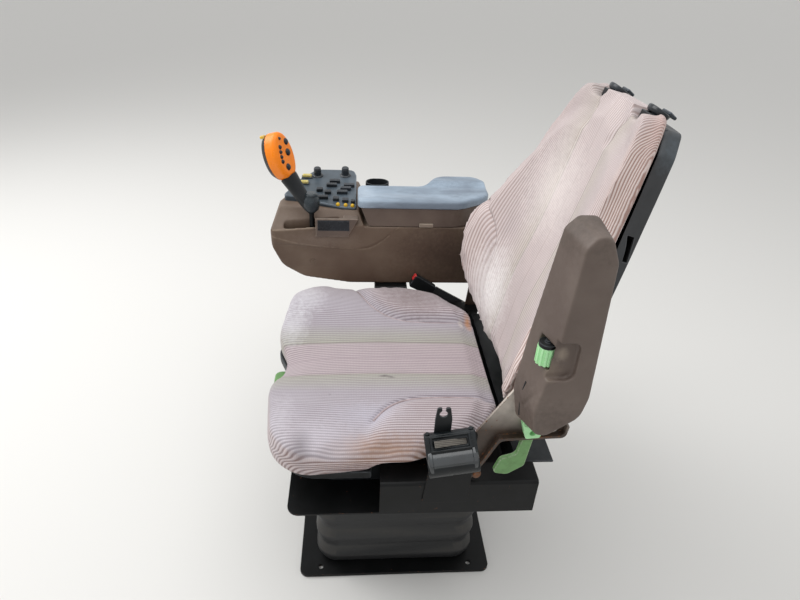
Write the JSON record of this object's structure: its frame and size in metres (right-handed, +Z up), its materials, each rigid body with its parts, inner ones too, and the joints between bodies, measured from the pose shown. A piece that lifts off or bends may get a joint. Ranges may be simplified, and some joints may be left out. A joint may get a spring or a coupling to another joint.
{
  "type": "operator seat with control console",
  "caption": "Suspension seat for a harvester cab with a side control console, drive lever, folding armrest, reclining backrest and lap belt.",
  "frame": {"origin": "centre of the floor plate's four-bolt pattern, on its underside at the cab floor", "axes": "+Z up, -Y the way the operator faces, +X the operator's left"},
  "size_m": [0.875, 0.6817, 1.0132],
  "materials": {
    "seat_fabric": "ribbed knit seat cloth, dusty mauve pink, worn",
    "arm_vinyl": "grey grained vinyl",
    "brown_plastic": "textured brown moulded plastic",
    "deck_plastic": "dark blue-grey moulded plastic",
    "black_plastic": "black moulded plastic",
    "orange_plastic": "orange moulded plastic",
    "yellow_plastic": "yellow moulded plastic",
    "cream_plastic": "cream yellow moulded plastic",
    "green_plastic": "faded green moulded plastic",
    "red_plastic": "red moulded plastic",
    "shell_plastic": "dark grey moulded plastic",
    "black_steel": "black painted sheet steel",
    "brown_steel": "brown painted steel, worn and rusty",
    "bright_steel": "zinc plated steel",
    "boot_rubber": "black ribbed rubber",
    "belt_web": "black woven belt webbing",
    "belt_bar": "grey brown belt webbing"
  },
  "bodies": {
    "base": {"floor_plate": "black_steel", "suspension_boot": "boot_rubber", "upper_pan": "black_steel", "slide_rail_left": "bright_steel", "slide_rail_right": "bright_steel"},
    "seat": {"slide_runner_left": "bright_steel", "slide_runner_right": "bright_steel", "seat_frame": "black_steel", "seat_cushion": "seat_fabric", "slide_handle": "green_plastic", "side_bracket_left": "brown_steel", "side_bracket_right": "brown_steel", "recline_pin_left": "bright_steel", "recline_pin_right": "bright_steel", "armrest_pin": "bright_steel", "recline_paddle": "green_plastic", "wedge_knob": "green_plastic", "retractor_bracket": "black_steel", "belt_retractor": "black_plastic", "belt_webbing": "belt_bar", "belt_tongue": "black_steel", "buckle_body": "black_plastic", "buckle_button": "red_plastic", "buckle_strap": "belt_web", "buckle_anchor_plate": "bright_steel", "console_arm": "black_steel", "console_body": "brown_plastic", "switch_deck": "deck_plastic", "deck_knobs": "black_plastic", "deck_rockers": "black_plastic", "deck_buttons": "yellow_plastic", "deck_paddles": "cream_plastic", "console_plate": "black_plastic", "console_cup": "black_plastic", "lever_pin": "bright_steel", "lid_pin": "bright_steel"},
    "backrest": {"backrest_cushion": "seat_fabric", "backrest_shell": "shell_plastic", "extension_sockets": "black_plastic", "recline_ear_left": "black_steel", "recline_ear_right": "black_steel"},
    "armrest": {"armrest": "brown_plastic", "armrest_wheel": "green_plastic", "wheel_cap": "black_plastic"},
    "lid": {"lid_box": "brown_plastic", "arm_pad": "arm_vinyl"},
    "lever": {"lever_stem": "bright_steel", "lever_dome": "black_plastic", "lever_stalk": "black_plastic", "lever_head": "orange_plastic", "lever_head_back": "black_plastic", "lever_buttons": "black_plastic"}
  },
  "joints": [
    {"name": "seat_slide", "type": "slide", "parent": "base", "child": "seat", "axis": [0, 1, 0], "range_m": [-0.075, 0.075]},
    {"name": "backrest_recline", "type": "hinge", "parent": "seat", "child": "backrest", "pos_m": [0, 0.214, 0.562], "axis": [-1, 0, 0], "range_deg": [-10, 15]},
    {"name": "armrest_fold", "type": "hinge", "parent": "seat", "child": "armrest", "pos_m": [0.3165, 0.195, 0.658], "axis": [1, 0, 0], "range_deg": [0, 80]},
    {"name": "lid_hinge", "type": "hinge", "parent": "seat", "child": "lid", "pos_m": [-0.38, 0.214, 0.626], "axis": [-1, 0, 0], "range_deg": [0, 65]},
    {"name": "drive_lever", "type": "hinge", "parent": "seat", "child": "lever", "pos_m": [-0.314, -0.192, 0.54], "axis": [1, 0, 0], "range_deg": [-20, 20]}
  ]
}
